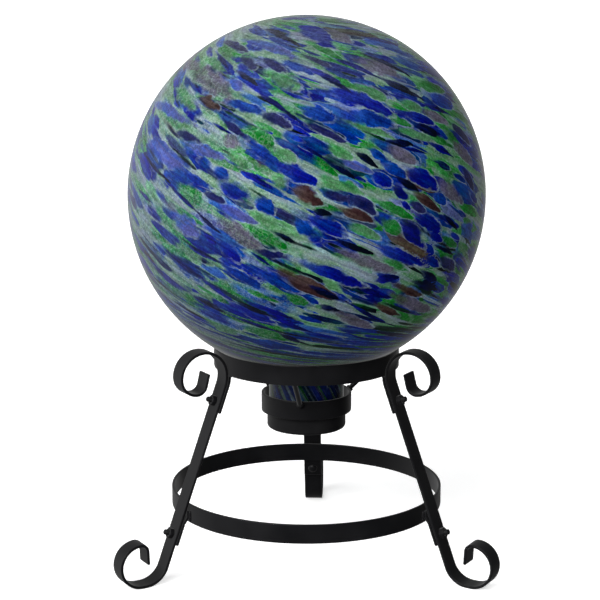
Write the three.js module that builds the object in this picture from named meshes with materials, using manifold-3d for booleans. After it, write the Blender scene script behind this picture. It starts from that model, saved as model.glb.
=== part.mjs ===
// Blown-glass gazing globe, neck down, in a three-legged stand of flat steel bar.
// Millimetres, +Z up, feet on z = 0.

import * as THREE from 'three';
import { mergeVertices } from 'three/addons/utils/BufferGeometryUtils.js';
import Module from 'manifold-3d';

const wasm = await Module();
wasm.setup();

// Driving dimensions

const GAP = 0.3; // clearance between pieces that touch

const BAR_WIDTH = 13.6;
const BAR_THICKNESS = 2;

const GLOBE_RADIUS = 127;
const NECK_RADIUS = 27.2;
const NECK_FILLET = 8; // where the neck runs into the globe

const CAP_BASE_Z = 98.2;
const CAP_HEIGHT = 17;
const CAP_WALL = 1.1;
const CAP_EDGE_RADIUS = 2.2;

const UPPER_RING_RADIUS = 67.1; // outer face
const UPPER_RING_BASE_Z = 144.7;
const NECK_RING_RADIUS = 32.8;
const NECK_RING_BASE_Z = 110.7;
const LOWER_RING_RADIUS = 98.8;
const LOWER_RING_BASE_Z = 42;

const STRUT_RADIUS = 1.75;
const STRUT_TOP_Z = 147.9; // on the upper ring's inner face
const STRUT_FOOT_Z = 121.8; // on the neck ring's outer face
const STRUT_AZIMUTHS = { front: 262, right: 22, left: 142 };

const LEG_AZIMUTHS = { left: 210, right: 330, back: 87 };
const LEG_LEAN = 20.7; // degrees out from the vertical, going down
const LEG_TOP_CURL = 17.5; // radius of the bend that rolls out over the top
const LEG_FOOT_BEND = 17; // radius of the bend from the leg into the foot

// Each scroll is a run of straight lengths and arcs (radius, turn in degrees anticlockwise
// in the leg's own plane), to the bar's cut end inside the scroll.
const TOP_SCROLL = [
  { length: 1.5 }, // up the ring's face
  { radius: LEG_TOP_CURL, turn: -180 },
  { radius: 12, turn: -90 },
  { radius: 7, turn: -76 },
  { length: 9 },
];
const FOOT_SCROLL = [
  { length: 3 }, // level stretch that stands on the ground
  { radius: 15.5, turn: 90 },
  { radius: 15, turn: 90 },
  { radius: 5, turn: 87 },
  { length: 10 },
];

const UPPER_TAB_END_Z = 118.5;
const LOWER_TAB_TOP_Z = 51;
const LOWER_TAB_END_Z = 26.8;
const LOWER_TAB_WELD = 3; // length that lies on the ring's face
const LOWER_TAB_SLANT = 35; // degrees from the vertical, between ring and leg
const LOWER_TAB_BEND = 4; // radius of the bend below the ring

const UPPER_BOLT_Z = 126.2;
const LOWER_BOLT_Z = 34;
const BOLT_RADIUS = 2;
const BOLT_HEAD_RADIUS = 3.5;
const BOLT_HEAD_HEIGHT = 2.4;
const BOLT_HEAD_EDGE = 0.9;
const BOLT_TAIL = 3; // thread showing beyond the nut
const NUT_ACROSS_FLATS = 7;
const NUT_HEIGHT = 3.2;
const NUT_SIDES = 6;

// Facets

const GLOBE_SIDES = 48;
const GLOBE_ROWS = 24;
const RING_SIDES = 64;
const SMALL_RING_SIDES = 40;
const ROUND_SIDES = 12;
const FILLET_STEPS = 4;
const ARC_STEP = 12; // degrees for each facet of a bent bar
const WELD_DISTANCE = 1e-4; // corners closer than this are one corner

// Sizes that follow

const radians = THREE.MathUtils.degToRad;
const lean = radians(LEG_LEAN);
const upperRingInner = UPPER_RING_RADIUS - BAR_THICKNESS;
const upperRingTop = UPPER_RING_BASE_Z + BAR_WIDTH;
const globeZ = upperRingTop + GAP + Math.sqrt(GLOBE_RADIUS ** 2 - upperRingInner ** 2);
const neckEndZ = CAP_BASE_Z + CAP_WALL + GAP;
const capInner = NECK_RADIUS + GAP;
const capOuter = capInner + CAP_WALL;
const halfBar = BAR_THICKNESS / 2;
const tabOffset = BAR_THICKNESS + GAP; // from a leg's middle to its tab's middle
const waistR = UPPER_RING_RADIUS + GAP + halfBar; // where the leg passes the upper ring
const waistZ = UPPER_RING_BASE_Z - GAP;

// Materials

const glass = new THREE.MeshStandardMaterial({ color: 0x3a5a8c, roughness: 0.3, metalness: 0 });
const steel = new THREE.MeshStandardMaterial({ color: 0x17171a, roughness: 0.45, metalness: 0.2 });
const plastic = new THREE.MeshStandardMaterial({ color: 0x1b1b1c, roughness: 0.5, metalness: 0 });

// Geometry helpers

// Steps along a line in the (r, z) plane. A step is a straight length, or an arc with a
// radius and a turn in degrees, counted anticlockwise.
function walk(start, headingDegrees, steps) {
  const points = [start.clone()];
  let heading = radians(headingDegrees);
  const advance = (distance) => {
    const move = new THREE.Vector2(Math.cos(heading), Math.sin(heading)).multiplyScalar(distance);
    points.push(points.at(-1).clone().add(move));
  };
  for (const step of steps) {
    if (step.length) {
      advance(step.length);
      continue;
    }
    const count = Math.ceil(Math.abs(step.turn) / ARC_STEP);
    const turn = radians(step.turn) / count;
    for (let i = 0; i < count; i += 1) {
      heading += turn / 2;
      advance(2 * step.radius * Math.sin(Math.abs(turn) / 2));
      heading += turn / 2;
    }
  }
  return points;
}

// The line moved sideways by a distance, to the left of its direction.
function offset(points, distance) {
  const directions = points.slice(1).map((point, i) => point.clone().sub(points[i]).normalize());
  return points.map((point, i) => {
    const before = directions[Math.max(i - 1, 0)];
    const after = directions[Math.min(i, directions.length - 1)];
    const along = before.clone().add(after).normalize();
    const side = new THREE.Vector2(-along.y, along.x);
    return side.multiplyScalar(distance / along.dot(after)).add(point);
  });
}

// Flat bar bent along a centreline in the (r, z) plane, its width across +Y.
function bentBar(centreline) {
  const outline = [...offset(centreline, -halfBar), ...offset(centreline, halfBar).reverse()];
  const geometry = new THREE.ExtrudeGeometry(new THREE.Shape(outline), {
    depth: BAR_WIDTH,
    bevelEnabled: false,
  });
  geometry.translate(0, 0, -BAR_WIDTH / 2);
  return geometry.rotateX(Math.PI / 2);
}

// A turned shape from (r, z) points.
function turned(points, sides) {
  const profile = points.map(([r, z]) => new THREE.Vector2(r, z));
  return new THREE.LatheGeometry(profile, sides).rotateX(Math.PI / 2);
}

// Points of an arc from one angle to another, in degrees, both ends included.
function arc(r, z, radius, from, to, steps) {
  return Array.from({ length: steps + 1 }, (_, i) => {
    const angle = radians(from + ((to - from) * i) / steps);
    return [r + radius * Math.cos(angle), z + radius * Math.sin(angle)];
  });
}

function toManifold(geometry) {
  const bare = geometry.clone();
  bare.deleteAttribute('normal');
  bare.deleteAttribute('uv');
  const merged = mergeVertices(bare, WELD_DISTANCE);
  return new wasm.Manifold(
    new wasm.Mesh({
      numProp: 3,
      vertProperties: new Float32Array(merged.attributes.position.array),
      triVerts: new Uint32Array(merged.index.array),
    }),
  );
}

function fromManifold(solid) {
  const mesh = solid.getMesh();
  const geometry = new THREE.BufferGeometry();
  geometry.setAttribute('position', new THREE.BufferAttribute(mesh.vertProperties, 3));
  geometry.setIndex(new THREE.BufferAttribute(mesh.triVerts, 1));
  geometry.computeVertexNormals();
  return geometry;
}

// Radius of the straight part of a leg's middle at a height.
function legRadiusAt(z) {
  const bendEndR = waistR + LEG_TOP_CURL * (1 - Math.cos(lean));
  const bendEndZ = waistZ - LEG_TOP_CURL * Math.sin(lean);
  return bendEndR + (bendEndZ - z) * Math.tan(lean);
}

// A bolt's place on a leg: a frame on the leg's middle, with +Y along the bolt, outwards.
function boltFrame(z) {
  const outward = new THREE.Vector3(Math.cos(lean), 0, Math.sin(lean));
  const turn = new THREE.Quaternion().setFromUnitVectors(new THREE.Vector3(0, 1, 0), outward);
  const place = new THREE.Vector3(legRadiusAt(z), 0, z);
  return new THREE.Matrix4().compose(place, turn, new THREE.Vector3(1, 1, 1));
}

// A bar with a clearance hole for each bolt that passes through it.
function drilled(geometry, boltHeights) {
  let solid = toManifold(geometry);
  const reach = 4 * tabOffset; // through leg and tab
  for (const z of boltHeights) {
    const hole = new THREE.CylinderGeometry(BOLT_RADIUS + GAP, BOLT_RADIUS + GAP, reach, ROUND_SIDES);
    solid = solid.subtract(toManifold(hole.applyMatrix4(boltFrame(z))));
  }
  return fromManifold(solid);
}

// Pieces

function globeGeometry() {
  const filletR = NECK_RADIUS + NECK_FILLET;
  const filletZ = globeZ - Math.sqrt((GLOBE_RADIUS + NECK_FILLET) ** 2 - filletR ** 2);
  const tangent = THREE.MathUtils.radToDeg(Math.atan2(filletZ - globeZ, filletR));
  return turned(
    [
      [0, neckEndZ],
      [NECK_RADIUS, neckEndZ],
      ...arc(filletR, filletZ, NECK_FILLET, 180, 180 + tangent, FILLET_STEPS),
      ...arc(0, globeZ, GLOBE_RADIUS, tangent, 90, GLOBE_ROWS).slice(1, -1),
      [0, globeZ + GLOBE_RADIUS],
    ],
    GLOBE_SIDES,
  );
}

function capGeometry() {
  const rim = CAP_BASE_Z + CAP_HEIGHT;
  const edgeR = capOuter - CAP_EDGE_RADIUS;
  const edgeZ = CAP_BASE_Z + CAP_EDGE_RADIUS;
  return turned(
    [
      [0, CAP_BASE_Z],
      ...arc(edgeR, edgeZ, CAP_EDGE_RADIUS, -90, 0, FILLET_STEPS),
      [capOuter, rim],
      [capInner, rim],
      [capInner, CAP_BASE_Z + CAP_WALL],
      [0, CAP_BASE_Z + CAP_WALL],
    ],
    SMALL_RING_SIDES,
  );
}

function ringGeometry(outerRadius, baseZ, sides) {
  const inner = outerRadius - BAR_THICKNESS;
  const top = baseZ + BAR_WIDTH;
  return turned(
    [
      [inner, baseZ],
      [outerRadius, baseZ],
      [outerRadius, top],
      [inner, top],
      [inner, baseZ],
    ],
    sides,
  );
}

// Round rod from the upper ring's inner face in to the neck ring's outer face. Its square-cut
// ends stop short of both faces by the clearance.
function strutGeometry() {
  const slope = Math.atan2(STRUT_TOP_Z - STRUT_FOOT_Z, upperRingInner - NECK_RING_RADIUS);
  const corner = STRUT_RADIUS * Math.sin(slope) + GAP;
  const top = new THREE.Vector3(upperRingInner - corner, 0, STRUT_TOP_Z);
  const foot = new THREE.Vector3(NECK_RING_RADIUS + corner, 0, STRUT_FOOT_Z);
  const along = top.clone().sub(foot);
  const rod = new THREE.CylinderGeometry(STRUT_RADIUS, STRUT_RADIUS, along.length(), ROUND_SIDES);
  const turn = new THREE.Quaternion().setFromUnitVectors(
    new THREE.Vector3(0, 1, 0),
    along.clone().normalize(),
  );
  return rod.applyQuaternion(turn).translate((top.x + foot.x) / 2, 0, (top.z + foot.z) / 2);
}

// One bar from the cut end inside the top scroll to the cut end inside the foot scroll.
function legGeometry() {
  const waist = new THREE.Vector2(waistR, waistZ);
  const drop = waistZ - halfBar - LEG_TOP_CURL * Math.sin(lean) - LEG_FOOT_BEND * (1 - Math.sin(lean));
  const upper = walk(waist, 90, TOP_SCROLL);
  const lower = walk(waist, -90, [
    { radius: LEG_TOP_CURL, turn: LEG_LEAN },
    { length: drop / Math.cos(lean) },
    { radius: LEG_FOOT_BEND, turn: 90 - LEG_LEAN },
    ...FOOT_SCROLL,
  ]);
  return drilled(bentBar([...upper.reverse(), ...lower.slice(1)]), [UPPER_BOLT_Z, LOWER_BOLT_Z]);
}

// Tab from the upper ring's lower edge down the inner face of a leg.
function upperTabGeometry() {
  const bend = LEG_TOP_CURL + tabOffset;
  const drop = waistZ - bend * Math.sin(lean) - UPPER_TAB_END_Z;
  const line = walk(new THREE.Vector2(waistR - tabOffset, waistZ), -90, [
    { radius: bend, turn: LEG_LEAN },
    { length: drop / Math.cos(lean) },
  ]);
  return drilled(bentBar(line), [UPPER_BOLT_Z]);
}

// Tab from the lower ring's outer face, across to a leg and down its inner face.
function lowerTabGeometry() {
  const slant = radians(LOWER_TAB_SLANT);
  const start = new THREE.Vector2(LOWER_RING_RADIUS + GAP + halfBar, LOWER_TAB_TOP_Z);
  const weld = walk(start, -90, [
    { length: LOWER_TAB_WELD },
    { radius: LOWER_TAB_BEND, turn: LOWER_TAB_SLANT },
  ]);
  const bendEnd = weld.at(-1);
  const legLine = (z) => legRadiusAt(z) - tabOffset / Math.cos(lean);
  const closing = Math.sin(slant) - Math.tan(lean) * Math.cos(slant);
  const crossing = (legLine(bendEnd.y) - bendEnd.x) / closing;
  const meetZ = bendEnd.y - crossing * Math.cos(slant);
  const line = [
    ...weld,
    new THREE.Vector2(legLine(meetZ), meetZ),
    new THREE.Vector2(legLine(LOWER_TAB_END_Z), LOWER_TAB_END_Z),
  ];
  return drilled(bentBar(line), [LOWER_BOLT_Z]);
}

// Bolt along +Y, with the leg's middle at 0: head inside the tab, thread past the nut.
function boltGeometry() {
  const seat = -(halfBar + GAP + BAR_THICKNESS + GAP);
  const headEnd = seat - BOLT_HEAD_HEIGHT;
  const tailEnd = halfBar + GAP + NUT_HEIGHT + BOLT_TAIL;
  const profile = [
    [0, headEnd],
    [BOLT_HEAD_RADIUS - BOLT_HEAD_EDGE, headEnd],
    [BOLT_HEAD_RADIUS, headEnd + BOLT_HEAD_EDGE],
    [BOLT_HEAD_RADIUS, seat],
    [BOLT_RADIUS, seat],
    [BOLT_RADIUS, tailEnd],
    [0, tailEnd],
  ];
  return new THREE.LatheGeometry(profile.map(([r, y]) => new THREE.Vector2(r, y)), ROUND_SIDES);
}

// Hexagon nut along +Y, seated on the leg's outer face.
function nutGeometry() {
  const corner = NUT_ACROSS_FLATS / Math.sqrt(3);
  const corners = arc(0, 0, corner, 0, 360, NUT_SIDES).slice(1);
  const hexagon = new THREE.Shape(corners.map(([x, y]) => new THREE.Vector2(x, y)));
  hexagon.holes.push(new THREE.Path().absarc(0, 0, BOLT_RADIUS + GAP, 0, 2 * Math.PI, true));
  const geometry = new THREE.ExtrudeGeometry(hexagon, {
    depth: NUT_HEIGHT,
    bevelEnabled: false,
    curveSegments: ROUND_SIDES / 2,
  });
  return geometry.rotateX(-Math.PI / 2).translate(0, halfBar + GAP, 0);
}

// Assembly

const object = new THREE.Group();

function add(name, geometry, material, azimuth = 0) {
  const mesh = new THREE.Mesh(geometry, material);
  mesh.name = name;
  mesh.rotation.z = radians(azimuth);
  object.add(mesh);
}

add('glass_globe', globeGeometry(), glass);
add('neck_cap', capGeometry(), plastic);
add('upper_ring', ringGeometry(UPPER_RING_RADIUS, UPPER_RING_BASE_Z, RING_SIDES), steel);
add('neck_ring', ringGeometry(NECK_RING_RADIUS, NECK_RING_BASE_Z, SMALL_RING_SIDES), steel);
add('lower_ring', ringGeometry(LOWER_RING_RADIUS, LOWER_RING_BASE_Z, RING_SIDES), steel);
for (const [side, azimuth] of Object.entries(STRUT_AZIMUTHS)) {
  add(`neck_strut_${side}`, strutGeometry(), steel, azimuth);
}
for (const [side, azimuth] of Object.entries(LEG_AZIMUTHS)) {
  add(`leg_${side}`, legGeometry(), steel, azimuth);
  add(`upper_tab_${side}`, upperTabGeometry(), steel, azimuth);
  add(`lower_tab_${side}`, lowerTabGeometry(), steel, azimuth);
  for (const [level, z] of [['upper', UPPER_BOLT_Z], ['lower', LOWER_BOLT_Z]]) {
    add(`${level}_bolt_${side}`, boltGeometry().applyMatrix4(boltFrame(z)), steel, azimuth);
    add(`${level}_nut_${side}`, nutGeometry().applyMatrix4(boltFrame(z)), steel, azimuth);
  }
}

// The origin is on the ground, below the middle of the part's box.
const box = new THREE.Box3().setFromObject(object);
object.position.set(-(box.min.x + box.max.x) / 2, -(box.min.y + box.max.y) / 2, 0);

export default object;
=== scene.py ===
"""Blown-glass gazing globe in a black scroll-leg stand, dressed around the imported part."""

import math
from typing import NamedTuple

import bpy
import numpy as np
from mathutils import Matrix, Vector, noise


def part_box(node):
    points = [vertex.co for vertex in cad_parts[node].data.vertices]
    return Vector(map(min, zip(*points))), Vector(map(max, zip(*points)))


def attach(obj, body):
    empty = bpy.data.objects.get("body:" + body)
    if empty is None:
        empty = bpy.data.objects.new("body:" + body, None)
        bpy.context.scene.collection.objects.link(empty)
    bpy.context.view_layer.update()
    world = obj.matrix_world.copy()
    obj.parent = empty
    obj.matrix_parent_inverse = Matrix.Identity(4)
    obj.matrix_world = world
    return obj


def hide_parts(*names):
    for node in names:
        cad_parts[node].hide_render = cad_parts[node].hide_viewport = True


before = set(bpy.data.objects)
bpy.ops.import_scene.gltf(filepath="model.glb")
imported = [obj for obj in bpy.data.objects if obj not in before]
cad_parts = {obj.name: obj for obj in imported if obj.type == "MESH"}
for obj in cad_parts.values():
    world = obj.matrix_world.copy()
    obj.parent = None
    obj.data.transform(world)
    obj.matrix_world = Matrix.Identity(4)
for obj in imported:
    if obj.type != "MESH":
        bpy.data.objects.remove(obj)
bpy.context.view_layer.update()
scene = bpy.context.scene

MM = 0.001
BODY = "root"

# Places and sizes read from the frame, in metres

globe_low, globe_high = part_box("glass_globe")
AXIS_X = (globe_low.x + globe_high.x) / 2
AXIS_Y = (globe_low.y + globe_high.y) / 2
GLOBE_RADIUS = (globe_high.x - globe_low.x) / 2
GLOBE_Z = globe_high.z - GLOBE_RADIUS
GLOBE_MIDDLE = (AXIS_X, AXIS_Y, GLOBE_Z)
NECK_END_Z = globe_low.z
upper_ring_low, upper_ring_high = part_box("upper_ring")
UPPER_RING_RADIUS = (upper_ring_high.x - upper_ring_low.x) / 2
neck_ring_low, neck_ring_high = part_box("neck_ring")
NECK_RING_RADIUS = (neck_ring_high.x - neck_ring_low.x) / 2
lower_ring_low, lower_ring_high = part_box("lower_ring")
LOWER_RING_RADIUS = (lower_ring_high.x - lower_ring_low.x) / 2

# Bar, rod and fastener sizes, the same as the solids'

BAR_WIDTH = 13.6 * MM
BAR_THICKNESS = 2 * MM
GAP = 0.3 * MM
NECK_RADIUS = 27.2 * MM
NECK_FILLET = 8 * MM
CAP_EDGE_RADIUS = 2.2 * MM
CAP_WALL = 1.1 * MM
STRUT_RADIUS = 1.75 * MM
STRUT_TOP_Z = 147.9 * MM
STRUT_FOOT_Z = 121.8 * MM
STRUT_CLEARANCE = 0.2 * MM  # from a rod's middle to the face of a ring
STRUT_AZIMUTHS = {"front": 262, "right": 22, "left": 142}
LEG_AZIMUTHS = {"left": 210, "right": 330, "back": 87}
LEG_LEAN = 20.7
LEG_TOP_CURL = 17.5 * MM
LEG_FOOT_BEND = 17 * MM
TOP_SCROLL = (
    ("line", 1.5 * MM),
    ("arc", LEG_TOP_CURL, -180),
    ("arc", 12 * MM, -90),
    ("arc", 7 * MM, -76),
    ("line", 9 * MM),
)
FOOT_SCROLL = (
    ("line", 3 * MM),
    ("arc", 15.5 * MM, 90),
    ("arc", 15 * MM, 90),
    ("arc", 5 * MM, 87),
    ("line", 10 * MM),
)
TAB_OFFSET = BAR_THICKNESS + GAP
UPPER_TAB_END_Z = 118.5 * MM
LOWER_TAB_TOP_Z = 51 * MM
LOWER_TAB_END_Z = 26.8 * MM
LOWER_TAB_WELD = 3 * MM
LOWER_TAB_SLANT = 35
LOWER_TAB_BEND = 4 * MM
BOLT_HEIGHTS = {"upper": 126.2 * MM, "lower": 34 * MM}
BOLT_RADIUS = 2 * MM
BOLT_HEAD_RADIUS = 3.5 * MM
BOLT_HEAD_HEIGHT = 2.4 * MM
BOLT_TAIL = 3 * MM
NUT_ACROSS_FLATS = 7 * MM
NUT_HEIGHT = 3.2 * MM
WAIST_R = UPPER_RING_RADIUS + GAP + BAR_THICKNESS / 2
WAIST_Z = upper_ring_low.z - GAP
lean = math.radians(LEG_LEAN)

# Details that only the visual model has

BAR_EDGE = 0.55 * MM
BAR_END_TAPER = 1.2  # of the eased edge, by which a bar's end is thinner and narrower
FLAT_WEIGHT = 80
UPPER_RING_RISE = 0.5 * MM  # closes the gap to the globe that the eased edge leaves
CAP_RIM_EDGE = 0.35 * MM
CAP_POLE = 0.1 * MM  # radius of the small flat in the middle
GLOBE_POLE = 0.002  # of the globe's radius, likewise
WELD_RADIUS = 1.3 * MM
LOWER_WELD_LENGTH = 8 * MM
STRUT_WELD_RADIUS = STRUT_RADIUS + 0.8 * MM
STRUT_WELD_LENGTH = 3.2 * MM
BEAD_RIPPLE = 0.12
BEAD_RIPPLE_TURN = 1.9  # radians from ring to ring
BEAD_UNEVEN = 0.16
BEAD_UNEVEN_STEP = 0.7
BEAD_UNEVEN_LEVEL = 0.3
BEAD_END = 0.03  # least squared share of the radius, at the ends
HEAD_DOME = (2, 80)  # first and last angle from the middle of a bolt's head, in degrees
HEAD_RIM = 0.2 * MM
THREAD_PITCH = 0.7 * MM
THREAD_DEPTH = 0.32 * MM
THREAD_START = 0.1 * MM
TAIL_CHAMFER = 0.5 * MM
NUT_CHAMFER = 30
NUT_FACE = 0.97  # radius of the flat round a nut's hole, of half its width
NUT_EDGE = 0.1 * MM
NUT_HOLE = BOLT_RADIUS + 0.05 * MM
NUT_HOLE_CHAMFER = 0.4 * MM

# Mesh fineness

ARC_STEP = 4  # degrees
CORNER_STEPS = 3
CAP_EDGE_STEPS = 10
FILLET_STEPS = 8
RING_SIDES = 192
ROUND_SIDES = 32
NUT_SIDES = 72
BEAD_SIDES = 10
BEAD_RINGS = 22
STRUT_SIDES = 20
STRUT_RINGS = 24
DOME_RINGS = 9
THREAD_RINGS = 110
GLOBE_SIDES = 400
GLOBE_ROW = 1.9 * MM

# Camera, fitted to the photograph; the picture is 600 pixels wide

PICTURE_SIZE = 600
FOCAL_PIXELS = 1665.8
SENSOR_WIDTH = 36
CAMERA_PITCH = -11.375
CAMERA_DISTANCE = 1177.9 * MM
CAMERA_RISE = 161 * MM
CAMERA_ASIDE = -4.7 * MM

# Mesh helpers


def walk(start, heading, steps):
    """Points along straight lengths and arcs in the (r, z) plane; a turn above 0 is anticlockwise."""
    points = [np.array(start, float)]
    heading = math.radians(heading)

    def advance(distance):
        points.append(points[-1] + distance * np.array([math.cos(heading), math.sin(heading)]))

    for kind, size, *turn in steps:
        if kind == "line":
            advance(size)
            continue
        count = math.ceil(abs(turn[0]) / ARC_STEP)
        bend = math.radians(turn[0]) / count
        for _ in range(count):
            heading += bend / 2
            advance(2 * size * math.sin(abs(bend) / 2))
            heading += bend / 2
    return points


def arc(r, z, radius, start, end, steps):
    """Points of an arc between two angles in degrees, both ends included."""
    angles = np.radians(np.linspace(start, end, steps + 1))
    return [(r + radius * math.cos(a), z + radius * math.sin(a)) for a in angles]


def turn_angles(count):
    """Evenly spread angles of a full turn."""
    return np.linspace(0, 2 * math.pi, count, endpoint=False)


def circle(radius, angles, height):
    """Points around the z axis; radius and height may change with the angle."""
    return np.column_stack(np.broadcast_arrays(radius * np.cos(angles), radius * np.sin(angles), height))


def rounded_rectangle(width, height, radius):
    """Corner-rounded section, anticlockwise, as (across, up) pairs around the middle."""
    points = []
    for quarter, (right, up) in enumerate(((1, 1), (-1, 1), (-1, -1), (1, -1))):
        middle = (right * (width / 2 - radius), up * (height / 2 - radius))
        points += arc(*middle, radius, 90 * quarter, 90 * quarter + 90, CORNER_STEPS)
    return np.array(points)


def loft(rings, loop=False):
    """Vertices and faces of a skin over closed rings of equal length, closed at its ends or looped."""
    rings = np.asarray(rings, float)
    count, sides = rings.shape[:2]
    faces = []
    for row in range(count if loop else count - 1):
        here, there = row * sides, (row + 1) % count * sides
        for side in range(sides):
            after = (side + 1) % sides
            faces.append((here + side, here + after, there + after, there + side))
    if not loop:
        faces.append(tuple(range(sides - 1, -1, -1)))
        faces.append(tuple(range((count - 1) * sides, count * sides)))
    return rings.reshape(-1, 3), faces


def swung(points, azimuth):
    """Points (r, y, z) of a leg's own plane, swung around the axis to an azimuth in degrees."""
    points = np.asarray(points, float)
    angle = math.radians(azimuth)
    r, y, z = points[..., 0], points[..., 1], points[..., 2]
    x_world = AXIS_X + r * math.cos(angle) - y * math.sin(angle)
    y_world = AXIS_Y + r * math.sin(angle) + y * math.cos(angle)
    return np.stack([x_world, y_world, z], axis=-1)


def bent_bar(path, azimuth):
    """Flat bar with rounded edges along a path in a leg's plane, its ends eased like its edges."""
    path = [np.array(point, float) for point in path]
    for end, inside in ((0, 1), (-1, -2)):
        along = path[inside] - path[end]
        eased = path[end] + along / np.linalg.norm(along) * BAR_EDGE
        path.insert(1 if end == 0 else len(path) - 1, eased)
    steps = np.diff(path, axis=0)
    steps /= np.linalg.norm(steps, axis=1)[:, None]
    tangents = np.vstack([steps[:1], steps[:-1] + steps[1:], steps[-1:]])
    tangents /= np.linalg.norm(tangents, axis=1)[:, None]
    full = rounded_rectangle(BAR_THICKNESS, BAR_WIDTH, BAR_EDGE)
    slim = 1 - BAR_END_TAPER * BAR_EDGE / BAR_THICKNESS
    narrow = 1 - BAR_END_TAPER * BAR_EDGE / BAR_WIDTH
    rings = []
    for index, (point, tangent) in enumerate(zip(path, tangents)):
        section = full * ((slim, narrow) if index in (0, len(path) - 1) else (1, 1))
        normal = np.array([-tangent[1], tangent[0]])
        place = point + section[:, :1] * normal
        rings.append(np.column_stack([place[:, 0], section[:, 1], place[:, 1]]))
    return loft(swung(rings, azimuth))


def turned(profile, sides):
    """Lathe around the globe's axis from (r, z) pairs; the profile is open and its ends are capped."""
    angles = turn_angles(sides)
    return loft([circle(r, angles, z) + (AXIS_X, AXIS_Y, 0) for r, z in profile])


def turned_loop(section, sides):
    """Lathe around the globe's axis from a closed section of (r, z) pairs."""
    radius, height = section.T
    rings = [
        np.column_stack([AXIS_X + radius * math.cos(a), AXIS_Y + radius * math.sin(a), height])
        for a in turn_angles(sides)
    ]
    return loft(rings, loop=True)


STEADY = Vector((0.31, 0.22, 0.92))  # so that a tube's rings all start on one side


def tube(points, radii, sides):
    """Round skin along a line of points, with a radius at each."""
    points = np.asarray(points, float)
    directions = np.gradient(points, axis=0)
    angles = turn_angles(sides)
    rings = []
    for point, direction, radius in zip(points, directions, radii):
        along = Vector(direction).normalized()
        across = along.orthogonal().normalized()
        if across.dot(STEADY) < 0:
            across.negate()
        other = along.cross(across)
        ring = np.outer(np.cos(angles), across) + np.outer(np.sin(angles), other)
        rings.append(point + radius * ring)
    return loft(rings)


def weld_bead(start, end, radius, seed):
    """Rippled bead of weld between two points."""
    radii = []
    for index, place in enumerate(np.linspace(-1, 1, BEAD_RINGS)):
        uneven = noise.noise(Vector((index * BEAD_UNEVEN_STEP, seed, BEAD_UNEVEN_LEVEL)))
        ripple = BEAD_RIPPLE * math.cos(index * BEAD_RIPPLE_TURN) + BEAD_UNEVEN * uneven
        ends = math.sqrt(max(1 - place**6, BEAD_END))
        radii.append(radius * ends * (1 + ripple))
    return tube(np.linspace(start, end, BEAD_RINGS), radii, BEAD_SIDES)


def joined(parts):
    """One list of vertices and one of faces from several."""
    vertices, faces, start = [], [], 0
    for part_vertices, part_faces in parts:
        vertices.append(np.asarray(part_vertices, float))
        faces += [tuple(start + corner for corner in face) for face in part_faces]
        start += len(part_vertices)
    return np.vstack(vertices), faces


def add_object(name, vertices, faces, material):
    """A smooth object in the scene."""
    mesh = bpy.data.meshes.new(name)
    mesh.from_pydata(vertices.tolist(), [], faces)
    mesh.validate()
    mesh.shade_smooth()
    mesh.materials.append(material)
    made = bpy.data.objects.new(name, mesh)
    scene.collection.objects.link(made)
    return made


stand = bpy.data.collections.new("stand")


def add_piece(node, suffix, parts, material, slot):
    """A piece in place of a CAD node, riding on the only body."""
    piece = add_object(f"{node}_{suffix}", *joined(parts), material)
    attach(piece, BODY)
    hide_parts(node)
    piece.visible_glossy = False
    if slot != "swirled_glass":
        stand.objects.link(piece)
    return piece


def keep_flats_flat(piece):
    """Lets the large faces set the normals, so that only the eased edges look round."""
    modifier = piece.modifiers.new("normals", "WEIGHTED_NORMAL")
    modifier.weight = FLAT_WEIGHT
    modifier.keep_sharp = True


def add_bar(node, parts, material):
    """A piece of the stand that is bent from flat bar."""
    keep_flats_flat(add_piece(node, "bar", parts, material, "black_steel"))


# Node helpers


def srgb(red, green, blue):
    """Linear colour from 0-255 display values."""

    def linear(value):
        value /= 255
        return value / 12.92 if value <= 0.04045 else ((value + 0.055) / 1.055) ** 2.4

    return (linear(red), linear(green), linear(blue), 1.0)


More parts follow.
